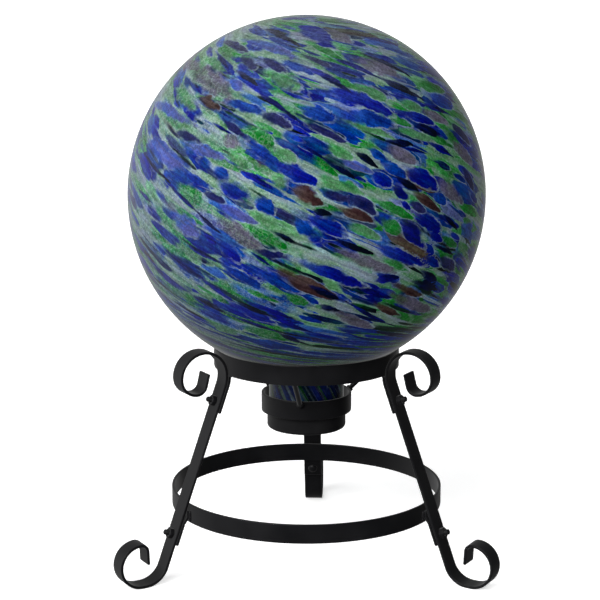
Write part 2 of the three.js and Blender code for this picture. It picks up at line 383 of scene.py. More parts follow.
class Graph:
    """The node tree of a material or the world, with short ways to add to it."""

    def __init__(self, owner):
        self.owner = owner
        owner.use_nodes = True
        self.tree = owner.node_tree
        self.tree.nodes.clear()

    def node(self, kind, inputs=None, **settings):
        made = self.tree.nodes.new("ShaderNode" + kind)
        for key, value in settings.items():
            setattr(made, key, value)
        for key, value in (inputs or {}).items():
            self.feed(made.inputs[key], value)
        return made

    def feed(self, socket, value):
        if isinstance(value, bpy.types.NodeSocket):
            self.tree.links.new(value, socket)
        else:
            socket.default_value = value

    def stored(self, name):
        """The vector that the mesh stores under a name."""
        return self.node("Attribute", attribute_name=name).outputs["Vector"]

    def place(self):
        """The place in the frame, in metres."""
        return self.node("TexCoord").outputs["Object"]

    def parts(self, vector):
        return self.node("SeparateXYZ", {"Vector": vector}).outputs[:]

    def math(self, operation, first, second=0.0):
        return self.node("Math", {0: first, 1: second}, operation=operation).outputs[0]

    def product(self, first, *others):
        for other in others:
            first = self.math("MULTIPLY", first, other)
        return first

    def vector(self, operation, first, second=(0, 0, 0), scale=None):
        made = self.node("VectorMath", {0: first, 1: second}, operation=operation)
        if scale is not None:
            self.feed(made.inputs["Scale"], scale)
        return made.outputs["Vector"]

    def dot(self, first, second):
        return self.node("VectorMath", {0: first, 1: second}, operation="DOT_PRODUCT").outputs["Value"]

    def ease(self, value, low, high, to_low=0.0, to_high=1.0):
        inputs = {"Value": value, "From Min": low, "From Max": high, "To Min": to_low, "To Max": to_high}
        return self.node("MapRange", inputs, interpolation_type="SMOOTHSTEP").outputs["Result"]

    def mix(self, factor, first, second):
        made = self.node("Mix", data_type="RGBA", clamp_factor=True)
        self.feed(made.inputs[0], factor)
        self.feed(made.inputs[6], first)
        self.feed(made.inputs[7], second)
        return made.outputs[2]

    def ramp(self, value, stops, interpolation="LINEAR"):
        made = self.node("ValToRGB", {"Fac": value})
        made.color_ramp.interpolation = interpolation
        elements = made.color_ramp.elements
        while len(elements) < len(stops):
            elements.new(1.0)
        for element, (position, colour) in zip(elements, stops):
            element.position = position
            element.color = colour
        return made

    def noise_node(self, vector, scale, detail, roughness=0.5, distortion=0.0):
        inputs = {"Vector": vector, "Scale": scale, "Detail": detail}
        inputs |= {"Roughness": roughness, "Distortion": distortion}
        return self.node("TexNoise", inputs)

    def noise(self, *settings):
        """A noise's value, about 0.5 in the middle."""
        return self.noise_node(*settings).outputs["Fac"]

    def wander(self, reach, *settings):
        """A noise's vector around zero, half the reach to every side."""
        colour = self.noise_node(*settings).outputs["Color"]
        return self.vector("SCALE", self.vector("SUBTRACT", colour, (0.5, 0.5, 0.5)), scale=reach)

    def surface(self, inputs):
        shader = self.node("BsdfPrincipled", inputs)
        output = self.node("OutputMaterial")
        self.feed(output.inputs["Surface"], shader.outputs[0])
        return self.owner


# Materials of the stand

GRAIN_HEIGHT = 0.1 * MM
POWDER_COAT = {
    "cloud": (45, 3),
    "grain": (1500, 2),
    "relief": 0.12,
    "colours": ((0.3, (0.0045, 0.0045, 0.0052, 1)), (0.7, (0.0075, 0.0075, 0.0084, 1))),
    "roughness": (0.25, 0.75, 0.3, 0.42),
    "specular": 0.3,
}
MOULDED_PLASTIC = {
    "cloud": (60, 2),
    "grain": (700, 3),
    "relief": 0.1,
    "colours": ((0.3, (0.006, 0.006, 0.0066, 1)), (0.7, (0.009, 0.009, 0.0097, 1))),
    "roughness": (0.3, 0.7, 0.34, 0.44),
    "specular": 0.2,
}


def black_finish(name, cloud, grain, relief, colours, roughness, specular):
    """Black satin finish with a fine grain, a little uneven in colour and gloss."""
    graph = Graph(bpy.data.materials.new(name))
    place = graph.place()
    uneven = graph.noise(place, *cloud)
    height = graph.noise(place, *grain)
    bump = graph.node("Bump", {"Height": height, "Strength": relief, "Distance": GRAIN_HEIGHT})
    return graph.surface(
        {
            "Base Color": graph.ramp(uneven, colours).outputs["Color"],
            "Roughness": graph.ease(uneven, *roughness),
            "Specular IOR Level": specular,
            "Normal": bump.outputs["Normal"],
        }
    )


# Colours of the glass

PALE_RIM = srgb(128, 146, 158)
COBALT = srgb(0, 9, 130)
ROYAL = srgb(0, 38, 128)
BRIGHT_BLUE = srgb(4, 58, 142)
MID_BLUE = srgb(34, 68, 146)
LILAC_BLUE = srgb(86, 92, 158)
NAVY = srgb(2, 13, 68)
VIOLET = srgb(40, 42, 92)
NIGHT = srgb(5, 13, 30)
GREEN = srgb(2, 108, 28)
LEAF = srgb(42, 120, 56)
PALE_GREEN = srgb(82, 134, 92)
MAROON = srgb(58, 36, 38)
BROWN = srgb(76, 58, 52)
GREY_LILAC = srgb(104, 98, 122)
WARM_GREY = srgb(74, 68, 72)
VEIN = srgb(44, 84, 88)
SPARK = srgb(178, 194, 184)
# painted reflection: a lilac veil of light laid over the left of the globe
PAINTED_REFLECTION = srgb(96, 106, 154)
# painted sheen that lightens the glass near the top
PAINTED_TOP_SHEEN = srgb(120, 126, 132)
GROUND = ((0.36, srgb(76, 134, 84)), (0.5, srgb(116, 148, 128)), (0.62, srgb(128, 142, 164)))
GROUND_SHADE = srgb(62, 92, 92)
GROUND_SPECK = srgb(146, 160, 150)
GREENER = (0.0, 0.03, 0.0)  # added to scattered flecks where the second colour of others shows
NOTHING = (0, 0, 0, 0)


class FleckLayer(NamedTuple):
    """One layer of flecks scattered over the globe."""

    drawn_out: str  # "chip" or "streak"
    shift: tuple  # of the pattern, in centimetres, so that no two layers share their cells
    spacing: float  # in centimetres
    reach: tuple  # least and most radius, in spacings
    soft: float  # millimetres from the edge to where the fleck covers
    rim: float  # strength of the pale rim
    crumpled: bool  # whether its glass is crackled
    colours: tuple  # each with the share of cells at which it starts


FLECK_LAYERS = (
    FleckLayer("chip", (3.1, 7.7, 1.2), 2.7, (0.55, 0.85), 3, 0, True,
               ((0.0, LEAF), (0.28, PALE_GREEN), (0.43, GREEN), (0.64, NOTHING))),
    FleckLayer("chip", (11.3, 2.9, 5.5), 2.3, (0.5, 0.75), 2.5, 0, True,
               ((0.0, LILAC_BLUE), (0.14, MID_BLUE), (0.3, NOTHING))),
    FleckLayer("chip", (23.3, 9.1, 4.7), 1.7, (0.4, 0.66), 1, 0.2, True,
               ((0.0, GREEN), (0.28, LEAF), (0.42, PALE_GREEN), (0.5, NOTHING))),
    FleckLayer("chip", (1.7, 13.1, 8.3), 1.9, (0.42, 0.7), 0.8, 0.45, False,
               ((0.0, ROYAL), (0.28, COBALT), (0.54, MID_BLUE), (0.62, NOTHING))),
    FleckLayer("chip", (6.1, 21.7, 3.9), 1.5, (0.46, 0.64), 0.8, 0.45, False,
               ((0.0, COBALT), (0.22, ROYAL), (0.32, VIOLET), (0.36, NAVY), (0.42, NOTHING))),
    FleckLayer("chip", (17.9, 4.3, 2.1), 2.5, (0.4, 0.55), 1, 0.2, False,
               ((0.0, MAROON), (0.03, BROWN), (0.05, GREY_LILAC), (0.08, NOTHING))),
    FleckLayer("streak", (5.3, 3.7, 19.1), 1.0, (0.34, 0.5), 0.6, 0.15, False,
               ((0.0, NAVY), (0.12, NIGHT), (0.24, COBALT), (0.38, NOTHING))),
    FleckLayer("streak", (15.7, 8.9, 11.3), 0.8, (0.34, 0.5), 0.6, 0.15, False,
               ((0.0, ROYAL), (0.1, NIGHT), (0.16, LEAF), (0.2, PALE_RIM), (0.3, NOTHING))),
)

# Flecks that the photograph shows plainly

# By families, in the order they lie on each other: two colours, then of each fleck one end, the way from
# there to the other end, and the width, read in pixels of the picture.
SEEN_FLECKS = {
    "leaf": (PALE_GREEN, LEAF, (
        (204, 56, 22, 14, 12), (176, 86, 18, 24, 14), (160, 108, 30, 20, 18), (222, 152, 28, 15, 12),
        (276, 150, 20, 10, 12), (272, 174, 15, 14, 14), (345, 84, 41, 14, 12), (326, 144, 26, 14, 12),
        (334, 180, 32, 15, 11), (320, 175, 18, 15, 13), (346, 224, 32, 14, 10), (262, 70, 38, 18, 16),
        (202, 319, 34, 15, 7), (160, 281, 30, 20, 6), (342, 118, 50, 19, 8), (397, 99, 27, 12, 10),
        (396, 128, 36, 12, 8),
    )),
    "green": (GREEN, LEAF, (
        (243, 126, 31, 20, 15), (176, 183, 26, 20, 17), (374, 110, 38, 16, 11), (416, 82, 28, 9, 10),
        (370, 197, 43, 21, 10), (380, 219, 22, 16, 14), (382, 257, 26, 13, 10), (244, 226, 42, 22, 13),
        (284, 294, 24, 12, 10), (300, 38, 42, 20, 7), (425, 133, 29, 14, 7), (442, 236, 14, 11, 10),
        (209, 292, 22, 13, 5), (240, 286, 36, 16, 6), (240, 326, 50, 15, 9),
    )),
    "lilac": (GREY_LILAC, WARM_GREY, (
        (188, 66, 42, 28, 26), (184, 58, 20, 16, 14), (221, 135, 20, 13, 13), (322, 30, 30, 10, 9),
        (352, 56, 50, 22, 13), (384, 146, 32, 16, 12), (212, 214, 48, 36, 17), (334, 251, 64, 22, 14),
        (392, 297, 42, 15, 13), (330, 311, 42, 17, 10), (438, 178, 24, 24, 13), (422, 109, 25, 14, 9),
        (452, 138, 20, 26, 9),
    )),
    "haze": (LILAC_BLUE, MID_BLUE, (
        (152, 100, 30, 18, 12), (152, 150, 32, 18, 16), (172, 212, 24, 24, 18), (146, 138, 24, 14, 12),
        (240, 37, 60, 19, 9), (229, 79, 15, 12, 10), (176, 138, 46, 20, 13), (216, 204, 38, 18, 11),
        (340, 160, 30, 11, 9),
    )),
    "royal": (ROYAL, BRIGHT_BLUE, (
        (280, 60, 32, 12, 10), (246, 143, 30, 18, 12), (214, 167, 14, 12, 13), (322, 86, 58, 20, 14),
        (340, 112, 54, 12, 15), (298, 105, 35, 14, 14), (430, 93, 23, 14, 12), (380, 160, 26, 16, 11),
        (255, 196, 19, 18, 15), (294, 218, 24, 22, 15), (254, 270, 48, 22, 14), (214, 260, 54, 33, 9),
        (434, 192, 12, 12, 10), (366, 146, 24, 17, 9), (240, 338, 60, 14, 8), (222, 100, 40, 12, 12),
        (183, 173, 29, 15, 7),
    )),
    "cobalt": (COBALT, ROYAL, (
        (293, 23, 41, 19, 15), (275, 162, 41, 22, 17), (330, 86, 64, 28, 14), (404, 111, 29, 12, 9),
        (406, 166, 30, 22, 17), (368, 171, 24, 15, 13), (216, 180, 36, 19, 17), (219, 242, 21, 20, 12),
        (306, 216, 41, 19, 15), (414, 213, 26, 16, 15), (429, 232, 13, 9, 9), (376, 245, 46, 20, 14),
        (298, 261, 64, 26, 13), (236, 305, 36, 18, 9), (400, 200, 10, 9, 6), (423, 243, 12, 10, 8),
        (424, 256, 16, 11, 8), (449, 231, 11, 9, 5),
    )),
    "deep": (COBALT, NAVY, (
        (402, 221, 22, 26, 16), (393, 185, 15, 14, 11),
    )),
    "violet": (VIOLET, NAVY, (
        (222, 40, 24, 9, 9), (240, 57, 16, 10, 11), (260, 58, 24, 12, 10), (174, 130, 26, 11, 10),
        (202, 190, 22, 12, 10), (222, 118, 24, 20, 9), (260, 113, 29, 13, 11), (302, 120, 44, 22, 8),
        (323, 192, 26, 9, 10), (350, 197, 26, 17, 15), (441, 256, 13, 15, 13), (450, 120, 20, 24, 6),
        (463, 166, 11, 24, 6), (252, 250, 38, 8, 9), (300, 53, 32, 14, 6), (410, 202, 15, 10, 9),
    )),
    "maroon": (MAROON, BROWN, (
        (199, 95, 20, 15, 14), (292, 187, 30, 16, 16), (412, 190, 30, 22, 9), (272, 268, 70, 35, 14),
        (394, 284, 28, 12, 10), (334, 206, 39, 15, 11), (373, 303, 27, 13, 8),
    )),
    "navy": (NAVY, COBALT, (
        (253, 88, 47, 33, 6), (238, 169, 37, 21, 8), (215, 50, 14, 19, 6), (329, 55, 51, 22, 5),
        (298, 61, 54, 30, 7), (300, 143, 32, 21, 5), (181, 241, 35, 21, 6), (160, 246, 43, 35, 5),
        (152, 267, 38, 28, 5), (250, 251, 22, 16, 5), (258, 307, 42, 14, 8), (202, 232, 15, 14, 8),
        (356, 288, 35, 10, 7), (211, 122, 20, 12, 5), (137, 187, 16, 18, 4), (372, 281, 28, -4, 8),
        (400, 146, 26, 7, 4), (420, 102, 30, 12, 5), (426, 140, 26, 16, 7), (164, 179, 36, 37, 5),
        (226, 314, 54, 20, 4), (199, 277, 37, 27, 6), (268, 316, 44, 17, 4), (341, 301, 55, 27, 4),
    )),
    "night": (NIGHT, NAVY, (
        (231, 67, 27, 18, 7), (412, 122, 30, 15, 8), (384, 141, 30, 3, 8), (351, 149, 27, 17, 7),
        (394, 174, 25, 19, 9), (271, 231, 26, 13, 7), (331, 238, 44, 17, 6), (413, 281, 25, 10, 8),
        (311, 209, 20, 7, 7), (141, 150, 27, 34, 4), (196, 211, 26, 25, 5), (258, 26, 41, 16, 6),
        (356, 50, 52, 23, 4), (328, 162, 27, 17, 6), (230, 300, 45, 19, 5), (186, 292, 46, 25, 5),
        (272, 331, 40, 16, 4), (424, 272, 12, 9, 9), (443, 213, 15, 17, 5), (436, 245, 17, 9, 5),
        (318, 306, 22, 5, 8), (304, 284, 42, 19, 7), (374, 74, 50, 25, 6),
    )),
}

OUTSIDE = -20  # depth where there is no fleck, in millimetres
LICK_SHARE = {"chip": 1.0, "streak": 0.3}  # how far the edges follow the licks of the swirl
# the side where the painted reflection lies
PAINTED_REFLECTION_SIDE = (-0.93, 0.0, -0.36)
MM_IN_CM = 10
PIXEL = (CAMERA_DISTANCE - GLOBE_RADIUS) / FOCAL_PIXELS / MM  # at the front of the globe, in millimetres

# How the seen flecks are drawn from what was read

SEEN_LONGER = 1.15  # than read, because the pointed ends run out thin
SEEN_WIDER = 1.08
POINTED = 1.1  # fullness of a very slim outline
FULLER = 1.6  # added to the fullness, times the share of a fleck's width in its length
SEEN_SOFT = 0.12  # of a seen fleck's half width, from its edge to where it covers
SEEN_RIM = 0.5
SEEN_RIMMED = 2.2  # least half width of a family with pale rims, in millimetres
SEEN_RAGGED = 0.8
SEEN_LICK = 0.1
SEEN_TURN = 0.4  # how much the second colour keeps to a fleck's upper end
SEEN_SLACK = 2.0  # divided by the half width: how far outside a place is trusted, in millimetres
CRUMPLED_FAMILIES = {"leaf", "green", "lilac"}  # the paler ones, whose glass is crackled

# Noises of the glass

# Scale, detail and, where given, roughness and distortion. The scale is per metre over the piece, and per
# centimetre along the swirl.
SLOW_BEND = (0.3, 1)
SLOW_REACH = 1.6
QUICK_BEND = (1.4, 2)
QUICK_REACH = 0.5
WRINKLE = (420, 3, 0.65, 0.8)
SPECK = (800, 2, 0.6)
GRAIN = (2.2, 3, 0.6)
DRIFT = (0.9, 2)
CLOUD = (0.5, 2)
LICK = (0.9, 1)
EDGE = (80, 2)
FRAY = (110, 3, 0.6)
WAVE = (60, 2)
WAVE_RELIEF = 0.06
WAVE_HEIGHT = 2 * MM
GLASS_SPECULAR = 0.35
CREASE = (4, 0.7)  # detail and roughness
VEIN_CREASE = (190, 0.07, 0.55)  # scale, width and strength
SPARK_CREASE = (240, 0.05, 0.28)

# Ranges: from where to where a value runs and, where given, what it becomes at either end

LICK_RANGE = (0.25, 0.75, -1.6, 1.6)
CRISP_RANGE = (0.4, 0.6)
CHANGE_RANGE = (0.8, 1.25)
CELL_SHADE = (0, 1, 0.75, 1.25)
VEINED_DRIFT = (0.4, 0.6)
WRINKLE_SHADE = (0.44, 0.62, 0.0, 0.6)
SPECK_LIGHT = (0.54, 0.7, 0.0, 0.5)
WRINKLE_MOTTLE = (0.35, 0.65, 0.72, 1.28)
GRAIN_MOTTLE = (0.35, 0.65, 0.78, 1.22)
SPECK_MOTTLE = (0.35, 0.65, 0.88, 1.12)
# how much of the painted reflection lies on the glass, by the drift
PAINTED_REFLECTION_DRIFT = (0.35, 0.6, 0.4, 1.0)
# how much of the painted top sheen lies on the glass, by the drift
PAINTED_TOP_SHEEN_DRIFT = (0.35, 0.6, 0.5, 1.0)
GLASS_ROUGHNESS = (0.3, 0.7, 0.12, 0.22)

# The same over the globe, where the first two are radii from its middle

CRISPER_ASIDE = (-1, 1, -0.08, 0.12)
CRUMPLED_ASIDE = (0.3, -0.6, 0.25, 1.0)
STREAKS_LOW = (-0.7, 0, 1.7, -0.8)
# painted shade that darkens the glass towards the bottom and the neck
PAINTED_SHADE_LOW = (-1.05, -0.5, 0.32, 1.0)
# where the painted reflection lies across the globe
PAINTED_REFLECTION_ASIDE = (0.25, 1, 0.0, 0.26)
# where the painted top sheen lies, high on the globe
PAINTED_TOP_SHEEN_HIGH = (0.4, 1, 0.0, 0.24)

# A fleck as glass, from its thin upper end, at -1 along it, to its thick lower end, at 1

RIM_START = -0.5  # where the pale rim begins outside the edge, in millimetres
RIM_FULL = RIM_START / 3
CRISP_ALONG = (-0.9, 0.1)
SOFT_END = 4  # times as soft where the edge isn't crisp
STAIN = 3.2  # brightness of what lies below, seen through the colour
SEE_THROUGH = (-1.0, 0.4, 0.65, 0.2)
EDGE_SHADE = (1.2, 0.95)
END_SHADE = (-0.8, 0.7, 1.2, 0.76)
END_COVER = (-1.0, 0.0, 0.82, 1.0)

# Material of the globe


class SwirlGraph(Graph):
    """The nodes of the swirled glass, with the coordinates and noises that its layers share."""

    def __init__(self, owner):
        super().__init__(owner)
        self.spot = self.place()
        self.x, _, self.z = self.parts(self.spot)
        swirl = self.stored("swirl")
        slow = self.wander(SLOW_REACH, swirl, *SLOW_BEND)
        quick = self.wander(QUICK_REACH, swirl, *QUICK_BEND)
        chip = self.vector("ADD", self.vector("ADD", swirl, slow), quick)
        streak = self.vector("ADD", self.stored("streak"), slow)
        self.drawn_out = {"chip": chip, "streak": streak}
        self.wrinkle = self.noise(self.spot, *WRINKLE)
        self.speck = self.noise(self.spot, *SPECK)
        self.grain = self.noise(streak, *GRAIN)
        self.drift = self.noise(chip, *DRIFT)
        self.lick = self.ease(self.noise(streak, *LICK), *LICK_RANGE)
        self.change = self.ease(self.math("ADD", self.grain, self.drift), *CHANGE_RANGE)
        crisper = self.over_globe(self.x, AXIS_X, *CRISPER_ASIDE)
        self.crisp = self.ease(self.math("ADD", self.noise(self.spot, *EDGE), crisper), *CRISP_RANGE)
        crumpled = self.over_globe(self.x, AXIS_X, *CRUMPLED_ASIDE)
        self.vein = self.product(self.crease(*VEIN_CREASE), self.ease(self.drift, *VEINED_DRIFT), crumpled)
        self.spark = self.product(self.crease(*SPARK_CREASE), crumpled)

    def over_globe(self, value, middle, low, high, to_low, to_high):
        """Eases a value between two places that are said in radii from the globe's middle."""
        return self.ease(value, middle + low * GLOBE_RADIUS, middle + high * GLOBE_RADIUS, to_low, to_high)

    def crease(self, scale, width, strength):
        """Fine branching lines, as on crumpled foil."""
        height = self.noise(self.spot, scale, *CREASE)
        ridge = self.math("ABSOLUTE", self.math("SUBTRACT", height, 0.5))
        return self.ease(ridge, 0, width, strength, 0)

    def crumple(self, glass):
        """Crackles glass with dark veins and pale sparks."""
        return self.mix(self.spark, self.mix(self.vein, glass, VEIN), SPARK)


def seen_shape(flecks):
    """A family's middle half width in millimetres, and the fullness of its outlines, pointed to oval."""
    widths = [width for *_, width in flecks]
    lengths = [math.hypot(run_x, run_y) for _, _, run_x, run_y, _ in flecks]
    stoutness = float(np.mean(np.divide(widths, lengths)))
    return float(np.mean(widths)) / 2 * PIXEL * SEEN_WIDER, POINTED + FULLER * stoutness


def seen_flecks(graph, family, half_width, fullness, ragged):
    """A family of seen flecks: depth inside in millimetres and place along the fleck."""
    along, across, roughly = graph.parts(graph.stored(f"seen_{family}"))
    along = graph.math("ADD", along, ragged[0])
    across = graph.math("ADD", across, ragged[1])
    powers = [graph.math("POWER", graph.math("ABSOLUTE", part), fullness) for part in (along, across)]
    reach = graph.math("POWER", graph.math("ADD", *powers), 1 / fullness)
    inside = graph.product(graph.math("SUBTRACT", 1.0, reach), half_width)
    near = graph.math("ADD", roughly, SEEN_SLACK / half_width)
    return graph.math("MINIMUM", inside, near), along


def scattered_flecks(graph, layer):
    """Cells of a Voronoi pattern as flecks: colour, depth inside in millimetres, place along the fleck."""
    moved = graph.vector("ADD", graph.drawn_out[layer.drawn_out], layer.shift)
    cells = graph.node("TexVoronoi", {"Vector": moved, "Scale": 1 / layer.spacing}, feature="F1")
    draw = graph.node("SeparateColor", {"Color": cells.outputs["Color"]})
    choice = graph.ramp(draw.outputs["Red"], layer.colours, "CONSTANT")
    size = graph.ease(draw.outputs["Green"], 0, 1, *layer.reach)
    inside = graph.product(graph.math("SUBTRACT", size, cells.outputs["Distance"]), MM_IN_CM * layer.spacing)
    absent = graph.ease(choice.outputs["Alpha"], 0, 1, OUTSIDE, 0)
    shade = graph.ease(draw.outputs["Blue"], *CELL_SHADE)
    colour = graph.vector("SCALE", choice.outputs["Color"], scale=shade)
    drop = graph.parts(graph.vector("SUBTRACT", cells.outputs["Position"], moved))[2]
    along = graph.math("DIVIDE", drop, layer.reach[1] * layer.spacing)
    return colour, graph.math("ADD", inside, absent), along


def lay_glass(graph, under, colour, fleck, soft, rim):
    """Lays flecks on what is under them: thin at the upper end, thick and with a pale rim at the lower."""
    inside, along = fleck
    crisp = graph.product(graph.crisp, graph.ease(along, *CRISP_ALONG))
    fade = graph.ease(crisp, 0, 1, SOFT_END * soft, soft)
    if rim:
        edge = graph.product(graph.ease(inside, RIM_START, RIM_FULL, 0, rim), crisp)
        under = graph.mix(edge, under, PALE_RIM)
    stained = graph.vector("SCALE", graph.vector("MULTIPLY", colour, under), scale=STAIN)
    body = graph.mix(graph.ease(along, *SEE_THROUGH), colour, stained)
    edge_shade = graph.ease(inside, 0, SOFT_END * soft, *EDGE_SHADE)
    body = graph.vector("SCALE", body, scale=graph.product(edge_shade, graph.ease(along, *END_SHADE)))
    cover = graph.product(graph.ease(inside, 0, fade), graph.ease(along, *END_COVER))
    return graph.mix(cover, under, body)


def pale_ground(graph):
    """The pale glass under all flecks, shaded in its wrinkles, specked and crackled."""
    cloud = graph.noise(graph.drawn_out["chip"], *CLOUD)
    colour = graph.ramp(cloud, GROUND).outputs["Color"]
    colour = graph.mix(graph.ease(graph.wrinkle, *WRINKLE_SHADE), colour, GROUND_SHADE)
    colour = graph.mix(graph.ease(graph.speck, *SPECK_LIGHT), colour, GROUND_SPECK)
    return graph.crumple(colour)


def lay_scattered(graph, colour):
    """Lays the scattered layers; streaks are broader low on the globe."""
    low = graph.over_globe(graph.z, GLOBE_Z, *STREAKS_LOW)
    tint = graph.vector("SCALE", GREENER, scale=graph.change)
    for layer in FLECK_LAYERS:
        paint, inside, along = scattered_flecks(graph, layer)
        paint = graph.vector("ADD", paint, tint)
        if layer.crumpled:
            paint = graph.crumple(paint)
        uneven = graph.product(graph.lick, LICK_SHARE[layer.drawn_out])
        if layer.drawn_out == "streak":
            uneven = graph.math("ADD", uneven, low)
        fleck = (graph.math("ADD", inside, uneven), along)
        colour = lay_glass(graph, colour, paint, fleck, layer.soft, layer.rim)
    return colour


def lay_seen(graph, colour):
    """Lays the seen flecks, family by family, with ragged edges."""
    fray = graph.parts(graph.wander(SEEN_RAGGED, graph.spot, *FRAY))
    ragged = (fray[0], graph.math("ADD", fray[1], graph.product(graph.lick, SEEN_LICK)))
    for family, (first, second, flecks) in SEEN_FLECKS.items():
        half_width, fullness = seen_shape(flecks)
        fleck = seen_flecks(graph, family, half_width, fullness, ragged)
        second_share = graph.math("SUBTRACT", graph.change, graph.product(fleck[1], SEEN_TURN))
        paint = graph.mix(second_share, first, second)
        if family in CRUMPLED_FAMILIES:
            paint = graph.crumple(paint)
        rim = SEEN_RIM if half_width > SEEN_RIMMED else 0
        colour = lay_glass(graph, colour, paint, fleck, SEEN_SOFT * half_width, rim)
    return colour


def paint_light_and_mottle(graph, colour):
    """A painted lilac reflection on the left, a painted sheen near the top, and a mottle with painted shade
    that darkens the glass towards the neck.
    """
    # painted reflection of the light on the left
    aside = graph.dot(graph.vector("SUBTRACT", graph.spot, GLOBE_MIDDLE), PAINTED_REFLECTION_SIDE)
    reflection = graph.over_globe(aside, 0, *PAINTED_REFLECTION_ASIDE)
    colour = graph.mix(graph.product(reflection, graph.ease(graph.drift, *PAINTED_REFLECTION_DRIFT)), colour, PAINTED_REFLECTION)
    # painted sheen that lightens the glass near the top
    haze = graph.over_globe(graph.z, GLOBE_Z, *PAINTED_TOP_SHEEN_HIGH)
    colour = graph.mix(graph.product(haze, graph.ease(graph.drift, *PAINTED_TOP_SHEEN_DRIFT)), colour, PAINTED_TOP_SHEEN)
    # mottle of the glass, times painted shade that darkens it towards the neck
    mottle_and_shade = graph.product(
        graph.ease(graph.wrinkle, *WRINKLE_MOTTLE),
        graph.ease(graph.grain, *GRAIN_MOTTLE),
        graph.ease(graph.speck, *SPECK_MOTTLE),
        graph.over_globe(graph.z, GLOBE_Z, *PAINTED_SHADE_LOW),
    )
    return graph.vector("SCALE", colour, scale=mottle_and_shade)


def swirled_glass():
    """Flecks of coloured glass drawn out by the twist of the blow, on a pale wrinkled ground."""
    graph = SwirlGraph(bpy.data.materials.new("swirled_glass"))
    colour = lay_seen(graph, lay_scattered(graph, pale_ground(graph)))
    wave = graph.noise(graph.spot, *WAVE)
    bump = graph.node("Bump", {"Height": wave, "Strength": WAVE_RELIEF, "Distance": WAVE_HEIGHT})
    return graph.surface(
        {
            "Base Color": paint_light_and_mottle(graph, colour),
            "Roughness": graph.ease(graph.wrinkle, *GLASS_ROUGHNESS),
            "Specular IOR Level": GLASS_SPECULAR,
            "Normal": bump.outputs["Normal"],
        }
    )


# Globe

CM_IN_M = 100
TWIST = {"swirl": 1.35, "streak": 1.95}
DRAW_OUT = {"swirl": 1.15, "streak": 0.4}
TWIST_LOW = 12
TWIST_LOW_FROM = 0.4
TWIST_REACH = 0.975  # of the radius, up and down from the middle, to where the twist grows
NECK_TURN = 21  # radians per metre down the neck
NECK_DRAW_OUT = 0.85
GATHER = 3.2  # how many times closer the flecks lie around the neck
GATHER_FROM = 0.75


def globe_profile():
    """(r, z) pairs from the end of the neck up to the top of the globe."""
    fillet_r = NECK_RADIUS + NECK_FILLET
    fillet_z = GLOBE_Z - math.sqrt((GLOBE_RADIUS + NECK_FILLET) ** 2 - fillet_r**2)
    tangent = math.degrees(math.atan2(fillet_z - GLOBE_Z, fillet_r))
    neck_rows = math.ceil((fillet_z - NECK_END_Z) / GLOBE_ROW)
    neck = [(NECK_RADIUS, NECK_END_Z + (fillet_z - NECK_END_Z) * i / neck_rows) for i in range(neck_rows)]
    fillet = arc(fillet_r, fillet_z, NECK_FILLET, 180, 180 + tangent, FILLET_STEPS)
    rows = math.ceil(math.radians(90 - tangent) * GLOBE_RADIUS / GLOBE_ROW)
    ball = arc(0, GLOBE_Z, GLOBE_RADIUS, tangent, 90, rows)[1:-1]
    return [*neck, *fillet, *ball, (GLOBE_RADIUS * GLOBE_POLE, GLOBE_Z + GLOBE_RADIUS)]


def swirl_coordinates(vertices, twist, draw_out):
    """Where each point of the glass lay before the twist, in centimetres, for the fleck pattern."""
    x, y, z = (vertices - GLOBE_MIDDLE).T
    share = np.clip(z / GLOBE_RADIUS, -TWIST_REACH, TWIST_REACH)
    below = np.clip(-share - TWIST_LOW_FROM, 0, None)
    neck = np.clip(-z - TWIST_REACH * GLOBE_RADIUS, 0, None)
    turn = twist * np.arctanh(share) - TWIST_LOW * below**3 - NECK_TURN * neck
    azimuth = np.arctan2(y, x) + turn
    gather = np.clip((-share - GATHER_FROM) / (TWIST_REACH - GATHER_FROM), 0, 1)
    radius = np.hypot(x, y) * (1 + (GATHER - 1) * gather**2)
    height = draw_out * (z + NECK_DRAW_OUT * neck)
    return np.column_stack([radius * np.cos(azimuth), radius * np.sin(azimuth), height]) * CM_IN_M


def on_globe(x, y):
    """Point of the globe behind a pixel of the picture, from the globe's middle."""
    pitch = math.radians(CAMERA_PITCH)
    across = (x - PICTURE_SIZE / 2) / FOCAL_PIXELS
    upwards = (PICTURE_SIZE / 2 - y) / FOCAL_PIXELS
    forwards = math.cos(pitch) - upwards * math.sin(pitch)
    rise = math.sin(pitch) + upwards * math.cos(pitch)
    ray = np.array([across, forwards, rise])
    ray /= np.linalg.norm(ray)
    eye = np.array([CAMERA_ASIDE, -CAMERA_DISTANCE, CAMERA_RISE])
    nearest = -eye @ ray
    reach = math.sqrt(max(GLOBE_RADIUS**2 - (eye @ eye - nearest**2), 0))
    return eye + ray * (nearest - reach)


def place_in_fleck(points, fleck, fullness):
    """Each point's place along and across a seen fleck, -1 to 1 inside it, and its rough depth in it."""
    end_x, end_y, run_x, run_y, width = fleck
    x, y = end_x + run_x / 2, end_y + run_y / 2
    aside_x, aside_y = np.array([-run_y, run_x]) / math.hypot(run_x, run_y) * width / 2
    middle = on_globe(x, y)
    long_axis = (on_globe(end_x + run_x, end_y + run_y) - on_globe(end_x, end_y)) / 2 * SEEN_LONGER
    short_axis = (on_globe(x + aside_x, y + aside_y) - on_globe(x - aside_x, y - aside_y)) / 2 * SEEN_WIDER
    axes = np.column_stack([long_axis, short_axis])
    along, across = np.linalg.pinv(axes) @ (points - middle).T
    reach = (np.abs(along) ** fullness + np.abs(across) ** fullness) ** (1 / fullness)
    depth = (1 - reach) * np.linalg.norm(axes[:, 1]) / MM
    depth = np.where(points @ middle > 0, np.maximum(depth, OUTSIDE), OUTSIDE)
    return np.stack([along, across, depth])


